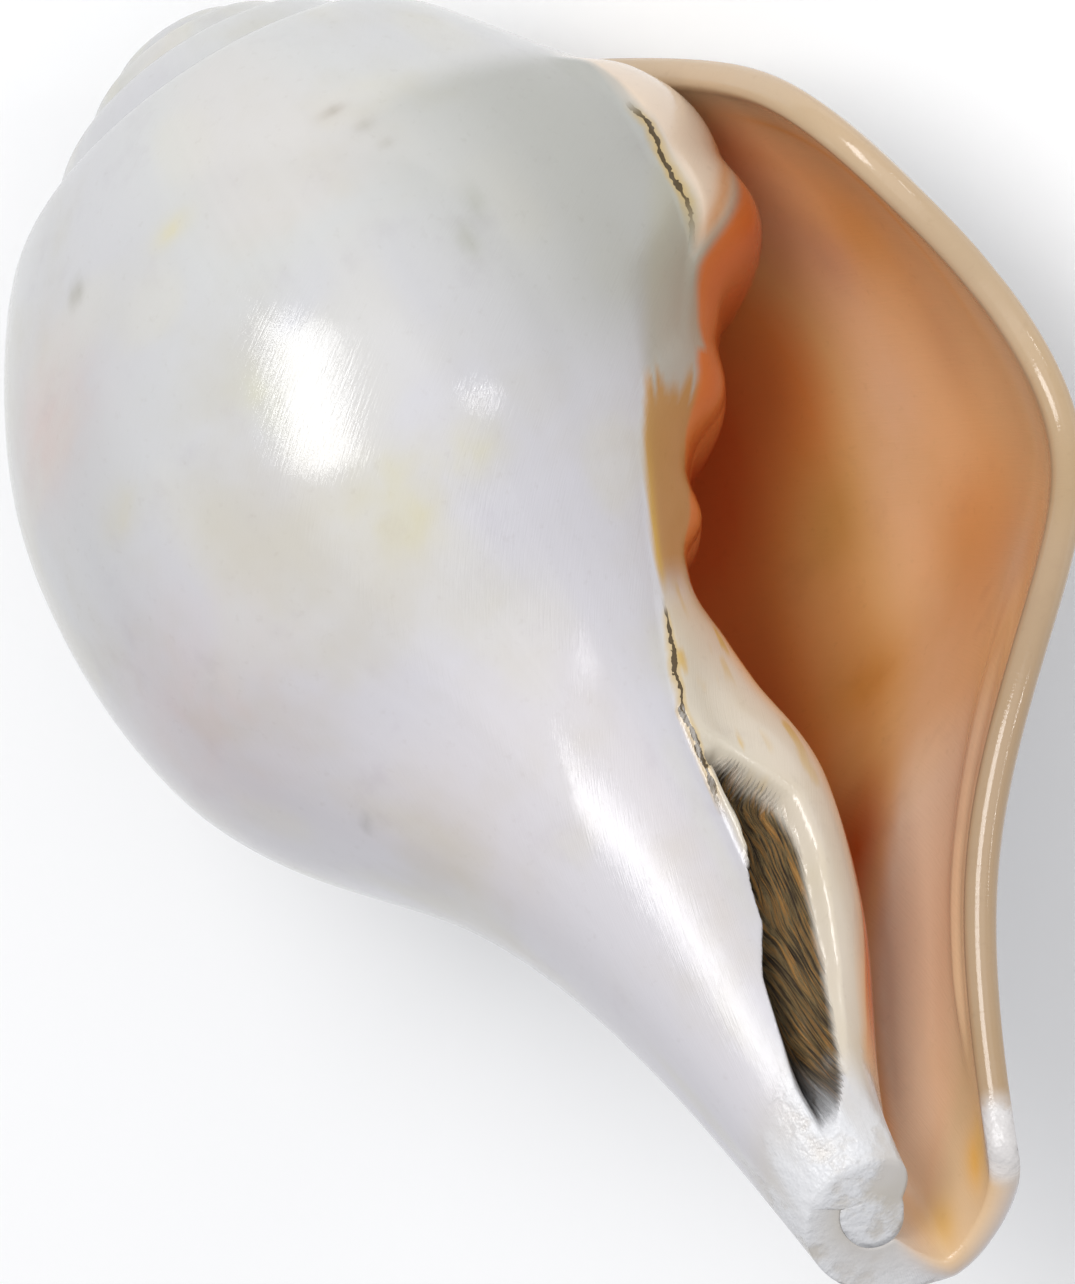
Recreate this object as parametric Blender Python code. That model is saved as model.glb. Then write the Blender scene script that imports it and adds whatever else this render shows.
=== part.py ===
"""A polished white conch shell, whole and heavy, lying on its back.

The body whorl, the spire above it, the aperture with its folded pillar, the raised
ledge beside the open chink, and the long canal are one piece of shell. It is lofted
along a spiral: the outline of the outer lip is carried back around the coiling axis
while it shrinks, and the inner face of the wall follows one wall thickness behind it.
"""

import math

import bmesh
import bpy
import numpy as np

# Overall size, in metres
SHELL_LENGTH = 0.150
WALL_THICKNESS = 0.0033

# Growth of the coil. A ratio is the shrink over one full turn back from the lip
WHORL_RATIO = 1.498
TURNS = 5
LIP_AZIMUTH = -0.285
FULL_TURN = 2.0 * math.pi

# Rings along the lip, from the suture to the tip of the canal. Lengths are shares of
# the shell's length. The columns are: place along the lip, radius, depth below the
# vanishing point of the coil, radius ratio, depth ratio, swing of the lip edge in
# radians, and swell of the pillar
RINGS = (
    (0.00, 0.1953, 0.1951, 1.498, 1.498, 0.00, 0.000),
    (0.11, 0.2265, 0.1827, 1.498, 1.498, 0.18, 0.000),
    (0.22, 0.2925, 0.2923, 1.498, 1.498, -0.23, 0.010),
    (0.36, 0.3263, 0.4205, 1.498, 1.498, -0.33, 0.039),
    (0.50, 0.3378, 0.5334, 1.659, 1.393, -0.11, 0.019),
    (0.61, 0.3140, 0.6358, 1.991, 1.347, -0.04, -0.010),
    (0.71, 0.2394, 0.7264, 2.460, 1.286, -0.09, -0.006),
    (0.84, 0.1542, 0.8348, 2.460, 1.173, -0.04, 0.025),
    (1.00, 0.0850, 1.0000, 2.677, 1.000, 0.04, -0.018),
)

# The top of the spire is worn blunt
APEX_DEPTH = 0.036

# The outer lip flares over the last part of the turn
LIP_FLARE = 0.097
FLARE_REACH = 0.5
SWING_REACH = 1.6

# The canal leans off the coiling axis, and its end is cut a little askew
CANAL_BEND = (0.003, -0.0265)
CANAL_END_SHIFT = (-0.015, -0.022)
CANAL_END_SLANT = (0.23, 0.52)

# Folds on the pillar: place along the lip, half width and height
FOLDS = (
    (0.465, 0.055, 0.0132),
    (0.580, 0.038, 0.0120),
    (0.653, 0.026, 0.0090),
)

# Pad of glaze laid over the body beside the aperture, and its free edge as a turn
# angle short of one full turn, given at places along the lip
PAD_HEIGHT = 0.007
PAD_PLACES = (0.25, 0.34, 0.41, 0.50, 0.555, 0.58, 0.61, 0.69, 0.73, 0.78, 0.81)
PAD_EDGES = (-0.55, -0.49, -0.47, -0.43, -0.50, -0.78, -0.84, -0.89, -0.96, -1.08, -1.10)

# Open chink between the ledge and the canal wall: both edges at places along the lip
CHINK_DEPTH = 0.045
CHINK_PLACES = (0.805, 0.83, 0.86, 0.885, 0.91, 0.93, 0.95, 0.97, 0.988)
CHINK_LEFT = (-1.09, -1.02, -1.02, -1.10, -1.20, -1.50, -1.66, -1.77, -1.79)
CHINK_RIGHT = (-1.05, -0.80, -0.50, -0.46, -0.50, -0.57, -0.76, -1.05, -1.60)

# Raised ledge between the chink and the aperture
LEDGE_HEIGHT = 0.010

# Mesh: columns around one turn, and rows along the lip
COLUMNS = 40
COLUMN_CROWDING = 0.45
SPIRE_ROWS = 6
RIM_ROWS = 3
BODY_ROWS = 28
SUTURE_PLACE = 0.22
WALL_FOOT_PLACE = 0.2465
HOLLOW_COLUMNS = 22

# Upward direction in the coil's frame when the shell lies on its back
RESTING_UP = (-0.6239, -0.6642, -0.4118)


def natural_spline(knots, values, x):
    """Natural cubic spline through the rows of values, read at x."""
    knots = np.asarray(knots, float)
    values = np.asarray(values, float)
    gaps = np.diff(knots)
    count = len(knots)
    system = np.eye(count)
    right = np.zeros_like(values)
    for i in range(1, count - 1):
        system[i, i - 1] = gaps[i - 1]
        system[i, i] = 2.0 * (gaps[i - 1] + gaps[i])
        system[i, i + 1] = gaps[i]
        rise = (values[i + 1] - values[i]) / gaps[i]
        fall = (values[i] - values[i - 1]) / gaps[i - 1]
        right[i] = 6.0 * (rise - fall)
    bends = np.linalg.solve(system, right)
    x = np.asarray(x, float)
    cell = np.clip(np.searchsorted(knots, x) - 1, 0, count - 2)
    gap = gaps[cell][..., None]
    after = (x - knots[cell])[..., None] / gap
    before = 1.0 - after
    straight = before * values[cell] + after * values[cell + 1]
    curve = (before ** 3 - before) * bends[cell] + (after ** 3 - after) * bends[cell + 1]
    return straight + curve * gap ** 2 / 6.0


def ease(start, end, x):
    """Smooth step from 0 at start to 1 at end."""
    t = np.clip((x - start) / (end - start), 0.0, 1.0)
    return t * t * (3.0 - 2.0 * t)


def plain_point(turn, place):
    """Outer face without relief: turn is the angle back from the lip."""
    rings = np.array(RINGS)
    columns = rings[:, 1:].copy()
    columns[:, 2] = np.log(columns[:, 2])
    columns[:, 3] = np.log(columns[:, 3])
    read = natural_spline(rings[:, 0], columns, place)
    radius, depth, radius_log, depth_log, swing, swell = np.moveaxis(read, -1, 0)
    angle = turn + swing * np.exp(-(turn / SWING_REACH) ** 2)
    turns = angle / FULL_TURN
    near = np.minimum(turns, 1.0)
    far = turns - near
    body = 1.0 - ease(0.40, 0.64, place)
    step = math.log(WHORL_RATIO)
    depth = depth * np.exp(-depth_log * near - far * step * body)
    depth = np.cbrt(depth ** 3 + APEX_DEPTH ** 3)
    radius = radius * np.exp(-radius_log * near - far * (step * body + 0.25 * (1.0 - body)))
    flare = LIP_FLARE * np.exp(-(turn / FLARE_REACH) ** 2) * ease(0.0, 0.36, place)
    radius = radius * (1.0 + flare)
    grown = ease(FULL_TURN - 0.9, FULL_TURN - 0.1, turn)
    grown = grown * (1.0 - ease(FULL_TURN + 0.4, FULL_TURN + 2.6, turn))
    radius = radius + swell * grown
    azimuth = LIP_AZIMUTH + angle
    bend = 0.5 * np.sin(np.clip((depth - 0.5) / 0.5, 0.0, 1.0) * math.pi)
    end = ease(0.5, 1.0, depth)
    x = radius * np.cos(azimuth) + CANAL_END_SHIFT[0] * end + CANAL_BEND[0] * bend
    y = radius * np.sin(azimuth) + CANAL_END_SHIFT[1] * end + CANAL_BEND[1] * bend
    slant = (CANAL_END_SLANT[0] * x + CANAL_END_SLANT[1] * y) * ease(0.7, 1.0, place)
    return np.stack([x, y, -depth - slant], axis=-1)


def inward(turn, place):
    """Unit vector into the shell, across the outer face."""
    reach = 0.002
    below = plain_point(turn, np.clip(place + reach, 0.0, 1.0))
    above = plain_point(turn, np.clip(place - reach, 0.0, 1.0))
    along = plain_point(turn + reach, place) - plain_point(turn - reach, place)
    across = np.cross(along, below - above)
    return across / np.linalg.norm(across, axis=-1, keepdims=True)


def relief(turn, place):
    """Height of the folds, pad, ledge and chink above the plain outer face."""
    short = turn - FULL_TURN
    height = np.zeros(np.broadcast(turn, place).shape)
    inside = ease(-0.75, -0.15, short)
    for centre, half_width, fold_height in FOLDS:
        away = np.clip((place - centre) / half_width, -1.0, 1.0)
        height = height + fold_height * inside * np.cos(away * math.pi / 2.0) ** 2
    edge = np.interp(place, PAD_PLACES, PAD_EDGES)
    pad = ease(edge - 0.04, edge + 0.04, short) * ease(0.25, 0.30, place)
    height = height + PAD_HEIGHT * pad * (1.0 - ease(0.86, 0.98, place))
    left = np.interp(place, CHINK_PLACES, CHINK_LEFT)
    right = np.interp(place, CHINK_PLACES, CHINK_RIGHT)
    ledge = ease(right - 0.05, right + 0.12, short) * ease(0.78, 0.85, place)
    height = height + LEDGE_HEIGHT * ledge * (1.0 - ease(0.90, 0.98, place))
    ends = ease(0.80, 0.83, place) * (1.0 - ease(0.96, 0.99, place))
    chink = ease(left - 0.05, left + 0.12, short) * (1.0 - ease(right - 0.16, right, short))
    return height - CHINK_DEPTH * chink * ends


def outer_point(turn, place):
    """Outer face with its relief."""
    return plain_point(turn, place) - inward(turn, place) * relief(turn, place)[..., None]


def column_angles():
    """Turn angles of all columns, closer together near the lip and the pillar."""
    steps = np.arange(COLUMNS * TURNS + 1) / COLUMNS
    return FULL_TURN * (steps - COLUMN_CROWDING * np.sin(FULL_TURN * steps) / FULL_TURN)


def row_places():
    """Places of all rows along the lip."""
    spire = np.linspace(0.0, SUTURE_PLACE, SPIRE_ROWS + 1)
    foot = np.linspace(SUTURE_PLACE, WALL_FOOT_PLACE, RIM_ROWS + 1)
    body = np.linspace(WALL_FOOT_PLACE, 1.0, BODY_ROWS + 1)
    return np.concatenate([spire, foot[1:], body[1:]])


def grid_quads(grid):
    """Quads of a grid of vertex numbers."""
    corners = (grid[:-1, :-1], grid[1:, :-1], grid[1:, 1:], grid[:-1, 1:])
    return np.stack(corners, axis=-1).reshape(-1, 4).tolist()


def bridge(first, second):
    """Triangles between two rows of vertex numbers of unequal length."""
    faces = []
    i = 0
    j = 0
    while i < len(first) - 1 or j < len(second) - 1:
        next_first = (i + 1) / (len(first) - 1)
        next_second = (j + 1) / (len(second) - 1)
        if next_first <= next_second:
            faces.append((first[i], first[i + 1], second[j]))
            i += 1
        else:
            faces.append((first[i], second[j + 1], second[j]))
            j += 1
    return faces


def build_faces():
    """Vertices and faces of the whole shell, in the coil's own frame."""
    turns = column_angles()
    places = row_places()
    suture = SPIRE_ROWS
    foot = SPIRE_ROWS + RIM_ROWS
    last = len(places) - 1
    columns = len(turns) - 1
    hollow = HOLLOW_COLUMNS
    points = []

    def keep(block):
        """Adds points, and returns their numbers in the block's shape."""
        start = len(points)
        flat = block.reshape(-1, 3)
        points.extend(flat)
        return np.arange(start, start + len(flat)).reshape(block.shape[:-1])

    turn_grid, place_grid = np.meshgrid(turns, places, indexing="ij")
    face = outer_point(turn_grid, place_grid)

    # Outer face. Where a whorl meets the one before it, both use the same points
    number = np.full(face.shape[:2], -1)
    number[:COLUMNS + 1, 1:] = keep(face[:COLUMNS + 1, 1:])
    number[COLUMNS + 1:, 1:suture + 1] = keep(face[COLUMNS + 1:, 1:suture + 1])
    reach = COLUMNS + hollow + 1
    number[COLUMNS + 1:reach, foot:] = keep(face[COLUMNS + 1:reach, foot:])
    free = columns - COLUMNS
    number[free + 1:, 0] = keep(face[free + 1:, 0])
    number[:free + 1, 0] = number[COLUMNS:, suture]

    # Inner face of the wall, one thickness in, thinner where the room is tight
    near = slice(0, hollow + 1)
    room = np.linalg.norm(face[near] - face[COLUMNS:reach], axis=-1)
    thickness = WALL_THICKNESS / SHELL_LENGTH
    wall = thickness / np.sqrt(1.0 + (thickness / (0.5 * room + 0.001)) ** 2)
    inner = face[near] + inward(turn_grid[near], place_grid[near]) * wall[..., None]
    fade = (1.0 - ease(0.0, 0.16, places))[None, :, None]
    foot_points = face[COLUMNS:reach, foot]
    inner = inner + fade * (foot_points - inner[:, 0])[:, None, :]
    inside = np.full(inner.shape[:2], -1)
    inside[:, 1:] = keep(inner[:, 1:])
    inside[:, 0] = number[COLUMNS:reach, foot]

    # Rounded rim of the lip, and the rounded end of the canal's wall
    outward = face[0] - outer_point(np.full(len(places), 0.01), places)
    outward = outward / np.linalg.norm(outward, axis=-1, keepdims=True)
    swing = np.linspace(0.0, math.pi, RIM_ROWS + 1)[1:-1]
    rim = np.full((len(places), RIM_ROWS + 1), -1)
    rim[:, 0] = number[0]
    rim[:, -1] = inside[0]
    rim[0] = number[COLUMNS, suture:foot + 1]
    blend = (0.5 - 0.5 * np.cos(swing))[None, :, None]
    bulge = 0.35 * np.sin(swing)[None, :, None]
    edge = inner[0] - face[0]
    span = np.linalg.norm(edge, axis=-1)[:, None, None]
    arc = face[0][:, None, :] + blend * edge[:, None, :] + bulge * span * outward[:, None, :]
    rim[1:, 1:-1] = keep(arc[1:])
    tip = np.full((hollow + 1, RIM_ROWS + 1), -1)
    tip[:, 0] = number[near, last]
    tip[:, -1] = inside[:, last]
    tip[0] = rim[last]
    edge = inner[:, last] - face[near, last]
    span = np.linalg.norm(edge, axis=-1)[:, None, None]
    arc = face[near, last][:, None, :] + blend * edge[:, None, :]
    arc = arc + bulge * span * np.array([0.0, 0.0, -1.0])
    tip[1:, 1:-1] = keep(arc[1:])

    # The solid end of the pillar, closed towards its middle
    loop = list(number[hollow:COLUMNS + hollow + 1, last])
    loop += list(tip[hollow][::-1][:-1])
    loop_points = np.array([points[i] for i in loop])
    middle = loop_points.mean(axis=0)
    ring = keep(middle + (loop_points - middle) * 0.55 + np.array([0.0, 0.0, -0.006]))
    centre = keep((middle + np.array([0.0, 0.0, -0.008]))[None, :])[0]
    loop = np.array(loop)

    # The blunt top of the spire
    crown = list(number[free:, 0]) + list(number[columns, 1:suture])
    crown_top = keep(np.array([[0.0, 0.0, -APEX_DEPTH]]))[0]

    faces = []
    faces += [quad[::-1] for quad in grid_quads(number[:COLUMNS + 1])]
    faces += [quad[::-1] for quad in grid_quads(number[COLUMNS:, :suture + 1])]
    faces += [quad[::-1] for quad in grid_quads(number[COLUMNS:reach, foot:])]
    faces += grid_quads(inside)
    faces += grid_quads(rim)
    faces += grid_quads(tip[::-1])
    closed = np.stack([np.append(loop, loop[0]), np.append(ring, ring[0])])
    faces += grid_quads(closed)
    faces += [(ring[i], ring[(i + 1) % len(ring)], centre) for i in range(len(ring))]
    faces += [(crown[i], crown[(i + 1) % len(crown)], crown_top) for i in range(len(crown))]
    wall_end = list(inside[hollow])
    pillar_end = list(number[COLUMNS + hollow, foot:])
    faces += bridge(wall_end, pillar_end)
    clean = [tuple(dict.fromkeys(int(i) for i in corners)) for corners in faces]
    clean = [corners for corners in clean if len(corners) > 2]
    return np.array(points) * SHELL_LENGTH, clean


def resting_axes():
    """Rows that turn the coil's frame: the spire points along +Y, and +Z is up."""
    up = np.array(RESTING_UP)
    up = up / np.linalg.norm(up)
    back = np.array([0.0, 0.0, 1.0])
    back = back - (back @ up) * up
    back = back / np.linalg.norm(back)
    return np.stack([np.cross(back, up), back, up])


def resting(points):
    """Lays the shell on its back, with the origin under the middle of its box."""
    turned = points @ resting_axes().T
    low = turned.min(axis=0)
    high = turned.max(axis=0)
    middle = 0.5 * (low + high)
    return turned - np.array([middle[0], middle[1], low[2]])


def remove_everything():
    """Empties the scene."""
    for item in list(bpy.data.objects):
        bpy.data.objects.remove(item, do_unlink=True)


remove_everything()
vertices, faces = build_faces()
vertices = resting(vertices)
mesh = bpy.data.meshes.new("conch_shell")
mesh.from_pydata(vertices.tolist(), [], faces)
mesh.validate()
working = bmesh.new()
working.from_mesh(mesh)
bmesh.ops.recalc_face_normals(working, faces=working.faces)
bmesh.ops.triangulate(working, faces=working.faces)
working.to_mesh(mesh)
working.free()
mesh.shade_smooth()

material = bpy.data.materials.new("polished_shell")
material.use_nodes = True
surface = material.node_tree.nodes["Principled BSDF"]
surface.inputs["Base Color"].default_value = (0.82, 0.80, 0.77, 1.0)
surface.inputs["Roughness"].default_value = 0.18
surface.inputs["Metallic"].default_value = 0.0
mesh.materials.append(material)

shell = bpy.data.objects.new("conch_shell", mesh)
collection = bpy.data.collections.new("conch")
bpy.context.scene.collection.children.link(collection)
collection.objects.link(shell)
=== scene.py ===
"""A polished white conch shell lying on its back, seen from its canal end.

The shell is one growth of lime under a white glaze. It lies with its mouth up on a pale
floor, in soft studio light.
"""

import math

import bpy
import bmesh
import numpy as np
from mathutils import Matrix, Vector


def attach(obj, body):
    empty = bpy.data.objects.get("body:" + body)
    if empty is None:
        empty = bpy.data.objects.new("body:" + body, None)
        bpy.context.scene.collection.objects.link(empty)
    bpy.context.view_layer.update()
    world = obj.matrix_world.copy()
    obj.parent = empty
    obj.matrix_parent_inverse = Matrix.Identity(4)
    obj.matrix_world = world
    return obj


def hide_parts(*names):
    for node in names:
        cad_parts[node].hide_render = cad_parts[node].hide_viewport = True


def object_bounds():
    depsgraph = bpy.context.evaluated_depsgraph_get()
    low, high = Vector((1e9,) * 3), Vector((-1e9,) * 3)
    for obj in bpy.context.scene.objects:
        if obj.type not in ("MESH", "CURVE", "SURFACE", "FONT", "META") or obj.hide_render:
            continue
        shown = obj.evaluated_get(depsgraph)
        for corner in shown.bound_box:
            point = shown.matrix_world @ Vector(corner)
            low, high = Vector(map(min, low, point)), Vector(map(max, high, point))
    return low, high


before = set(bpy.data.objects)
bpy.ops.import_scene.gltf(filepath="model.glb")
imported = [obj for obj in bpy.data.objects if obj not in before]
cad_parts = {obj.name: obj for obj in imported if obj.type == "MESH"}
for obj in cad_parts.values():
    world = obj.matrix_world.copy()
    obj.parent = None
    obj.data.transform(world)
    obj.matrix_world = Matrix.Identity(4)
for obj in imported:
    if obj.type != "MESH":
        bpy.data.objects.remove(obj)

cad_low, cad_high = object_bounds()

# The wall of the shell
# One piece of lime shell, grown along a spiral and polished by hand. The outline of the
# outer lip is carried back around the coiling axis while it shrinks. Its lengths are
# shares of the shell's length, in the coil's frame, with the axis along Z.
SHELL_LENGTH = 0.150
WALL_THICKNESS = 0.0033
WHORL_RATIO = 1.498
TURNS = 5
LIP_AZIMUTH = -0.285
FULL_TURN = 2.0 * math.pi
APEX_DEPTH = 0.036

# Rings along the lip from the suture to the canal's tip: place, radius, depth, radius
# ratio, depth ratio, swing of the lip's edge, swell of the pillar
RINGS = np.array([
    (0.00, 0.1953, 0.1951, 1.498, 1.498, 0.00, 0.000),
    (0.11, 0.2265, 0.1827, 1.498, 1.498, 0.18, 0.000),
    (0.22, 0.2925, 0.2923, 1.498, 1.498, -0.23, 0.010),
    (0.36, 0.3263, 0.4205, 1.498, 1.498, -0.33, 0.039),
    (0.50, 0.3378, 0.5334, 1.659, 1.393, -0.11, 0.019),
    (0.61, 0.3140, 0.6358, 1.991, 1.347, -0.04, -0.010),
    (0.71, 0.2394, 0.7264, 2.460, 1.286, -0.09, -0.006),
    (0.84, 0.1542, 0.8348, 2.460, 1.173, -0.04, 0.025),
    (1.00, 0.0850, 1.0000, 2.677, 1.000, 0.04, -0.018),
])

# How the lip flares and swings, how the growth passes from the body to the pillar, how
# the pillar swells, and how the canal bends and slants
LIP_FLARE = 0.097
FLARE_REACH = 0.5
FLARE_PLACES = (0.0, 0.36)
SWING_REACH = 1.6
BODY_ENDS = (0.40, 0.64)
PILLAR_SHRINK = 0.25
SWELL_STARTS = (FULL_TURN - 0.9, FULL_TURN - 0.1)
SWELL_ENDS = (FULL_TURN + 0.4, FULL_TURN + 2.6)
CANAL_TOP = 0.5
CANAL_BEND = (0.003, -0.0265)
CANAL_END_SHIFT = (-0.015, -0.022)
CANAL_END_SLANT = (0.23, 0.52)
SLANT_START = 0.7
NORMAL_STEP = 0.002


def natural_spline(knots, values, x):
    """Natural cubic spline through the rows of values: bends solved from knot gaps."""
    gaps = np.diff(knots)
    count = len(knots)
    middle = np.arange(1, count - 1)
    system = np.eye(count)
    system[middle, middle - 1] = gaps[:-1]
    system[middle, middle] = 2.0 * (gaps[:-1] + gaps[1:])
    system[middle, middle + 1] = gaps[1:]
    slopes = np.diff(values, axis=0) / gaps[:, None]
    right = np.zeros_like(values)
    right[1:-1] = 6.0 * np.diff(slopes, axis=0)
    bends = np.linalg.solve(system, right)
    cell = np.clip(np.searchsorted(knots, x) - 1, 0, count - 2)
    gap = gaps[cell][..., None]
    after = (x - knots[cell])[..., None] / gap
    before = 1.0 - after
    straight = before * values[cell] + after * values[cell + 1]
    curve = (before ** 3 - before) * bends[cell] + (after ** 3 - after) * bends[cell + 1]
    return straight + curve * gap ** 2 / 6.0


def ease(start, end, x):
    """Smooth step: three times t squared less two times t cubed, t from start to end."""
    t = np.clip((x - start) / (end - start), 0.0, 1.0)
    return t * t * (3.0 - 2.0 * t)


def plain_face(turn, place):
    """Outer face without relief: the lip's outline, shrunk by its ratios to the power
    of the turns gone back, and set round the axis at the turn angle."""
    columns = RINGS[:, 1:].copy()
    columns[:, 2:4] = np.log(columns[:, 2:4])
    read = natural_spline(RINGS[:, 0], columns, place)
    radius, depth, radius_log, depth_log, swing, swell = np.moveaxis(read, -1, 0)
    angle = turn + swing * np.exp(-(turn / SWING_REACH) ** 2)
    turns = angle / FULL_TURN
    near = np.minimum(turns, 1.0)
    far = turns - near
    body = 1.0 - ease(*BODY_ENDS, place)
    step = math.log(WHORL_RATIO)
    depth = depth * np.exp(-depth_log * near - far * step * body)
    depth = np.cbrt(depth ** 3 + APEX_DEPTH ** 3)
    shrink = step * body + PILLAR_SHRINK * (1.0 - body)
    radius = radius * np.exp(-radius_log * near - far * shrink)
    flare = LIP_FLARE * np.exp(-(turn / FLARE_REACH) ** 2) * ease(*FLARE_PLACES, place)
    radius = radius * (1.0 + flare)
    grown = ease(*SWELL_STARTS, turn) * (1.0 - ease(*SWELL_ENDS, turn))
    radius = radius + swell * grown
    azimuth = LIP_AZIMUTH + angle
    along_canal = np.clip((depth - CANAL_TOP) / (1.0 - CANAL_TOP), 0.0, 1.0)
    bend = 0.5 * np.sin(along_canal * math.pi)
    end = ease(CANAL_TOP, 1.0, depth)
    x = radius * np.cos(azimuth) + CANAL_END_SHIFT[0] * end + CANAL_BEND[0] * bend
    y = radius * np.sin(azimuth) + CANAL_END_SHIFT[1] * end + CANAL_BEND[1] * bend
    slant = CANAL_END_SLANT[0] * x + CANAL_END_SLANT[1] * y
    slant = slant * ease(SLANT_START, 1.0, place)
    return np.stack([x, y, -depth - slant], axis=-1)


def inward(turn, place):
    """Unit vector into the shell: the cross product of small steps along both ways."""
    below = plain_face(turn, np.clip(place + NORMAL_STEP, 0.0, 1.0))
    above = plain_face(turn, np.clip(place - NORMAL_STEP, 0.0, 1.0))
    along = plain_face(turn + NORMAL_STEP, place) - plain_face(turn - NORMAL_STEP, place)
    across = np.cross(along, below - above)
    return across / np.linalg.norm(across, axis=-1, keepdims=True)


def grain(x, y, seed):
    """Smooth noise from -1 to 1: random numbers at whole steps of x and y, hashed from a
    sine, and eased between the four around each point."""
    column = np.floor(x)
    row = np.floor(y)
    across = x - column
    along = y - row
    across = across * across * (3.0 - 2.0 * across)
    along = along * along * (3.0 - 2.0 * along)

    def hashed(i, j):
        """Fraction of a large sine, from -1 to 1."""
        wave = np.sin(i * 127.1 + j * 311.7 + seed * 74.7) * 43758.5453
        return 2.0 * (wave - np.floor(wave)) - 1.0

    near = hashed(column, row) * (1.0 - across) + hashed(column + 1.0, row) * across
    far = hashed(column, row + 1.0) * (1.0 - across)
    far = far + hashed(column + 1.0, row + 1.0) * across
    return near * (1.0 - along) + far * along


# Low forms on the pillar's side
# The folds, the pad of glaze laid over the body beside the mouth, the raised ledge and
# the open chink all grew with the shell. They are heights above the plain outer face.

# Each fold's middle and half width as places, and its height
FOLDS = (
    (0.465, 0.058, 0.0175),
    (0.580, 0.038, 0.0125),
    (0.658, 0.028, 0.0115),
)
PAD_HEIGHT = 0.007
PAD_WEAR = 0.85
PAD_WAVER = 0.012
PAD_PLACES = (0.25, 0.34, 0.41, 0.50, 0.555, 0.58, 0.61, 0.69, 0.73, 0.78, 0.81)
PAD_EDGES = (-0.55, -0.49, -0.47, -0.43, -0.50, -0.78, -0.84, -0.89, -0.96, -1.08, -1.10)
CHINK_DEPTH = 0.045
CHINK_PLACES = (0.805, 0.83, 0.86, 0.885, 0.91, 0.93, 0.95, 0.97, 0.988)
CHINK_LEFT = (-1.09, -1.02, -1.02, -1.10, -1.20, -1.50, -1.66, -1.77, -1.79)
CHINK_RIGHT = (-1.05, -0.80, -0.50, -0.46, -0.50, -0.57, -0.76, -1.05, -1.60)
LEFT_FRAY = 0.04
RIGHT_FRAY = 0.02
COARSE_GRIT = 0.22
FINE_GRIT = 0.16
LEAST_CHINK = 0.02
LEDGE_HEIGHT = 0.010


def pad_edge(place):
    """Free edge of the pad, with a slow waver."""
    return np.interp(place, PAD_PLACES, PAD_EDGES) + PAD_WAVER * grain(place * 34.0, place, 1)


def chink_sides(place):
    """Both edges of the chink, frayed along their length."""
    left = np.interp(place, CHINK_PLACES, CHINK_LEFT)
    left = left + LEFT_FRAY * grain(place * 40.0, place, 2)
    right = np.interp(place, CHINK_PLACES, CHINK_RIGHT)
    right = right + RIGHT_FRAY * grain(place * 24.0, place, 3)
    return left, right


def relief(turn, place):
    """Sum of the folds, the pad's step, the ledge and the chink, in shares of length."""
    short = turn - FULL_TURN
    height = np.zeros(np.broadcast(turn, place).shape)
    inside = ease(-0.75, -0.15, short)
    for centre, half_width, fold_height in FOLDS:
        away = np.clip((place - centre) / half_width, -1.0, 1.0)
        height = height + fold_height * inside * np.cos(away * math.pi / 2.0) ** 2
    edge = pad_edge(place)
    pad = ease(edge - 0.02, edge + 0.03, short) * ease(0.25, 0.30, place)
    worn = ease(0.47, 0.53, place) * (1.0 - ease(0.70, 0.75, place))
    pad = pad * (1.0 - ease(0.86, 0.98, place))
    height = height + PAD_HEIGHT * pad * (1.0 - PAD_WEAR * worn)
    left, right = chink_sides(place)
    ledge = ease(right - 0.02, right + 0.07, short) * ease(0.78, 0.85, place)
    height = height + LEDGE_HEIGHT * ledge * (1.0 - ease(0.90, 0.98, place))
    ends = ease(0.815, 0.838, place) * (1.0 - ease(0.965, 0.99, place))
    share = (short - left) / np.maximum(right - left, LEAST_CHINK)
    hole = 1.0 - ease(0.84, 0.88, place)
    floor = ease(0.0, 0.12, share) * (1.0 - (0.80 - 0.45 * hole) * ease(0.10, 0.9, share))
    floor = floor * (1.0 - ease(0.80, 1.05, share))
    rough = COARSE_GRIT * grain(short * 26.0, place * 45.0, 4)
    rough = rough + FINE_GRIT * grain(short * 60.0, place * 60.0, 5)
    return height - CHINK_DEPTH * floor * ends * (1.0 + rough)


def outer_face(turn, place):
    """Plain outer face, raised by the relief against the inward vector."""
    return plain_face(turn, place) - inward(turn, place) * relief(turn, place)[..., None]


# The grid of the shell
# One closed skin: the outer face with every whorl of the spire, the pillar inside the
# mouth, the inner face of the wall, the rounded rim of the lip and the canal's tip.
COLUMNS = 176
SPIRE_ROWS = 24
RIM_ROWS = 6
BODY_ROWS = 200
SUTURE_PLACE = 0.22
WALL_FOOT_PLACE = 0.2465
HOLLOW_COLUMNS = 76

# Columns lie closest at the lip and on the pillar's side, and rows along the chink and
# at the tip
COLUMN_SHARES = (0.0, 0.10, 0.45, 0.52, 1.0)
COLUMN_TURNS = (0.0, 0.50, 3.90, 4.30, FULL_TURN)
ROW_SHARES = (0.0, 0.22, 0.50, 0.93, 1.0)
ROW_PLACES = (WALL_FOOT_PLACE, 0.48, 0.80, 0.98, 1.0)

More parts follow.
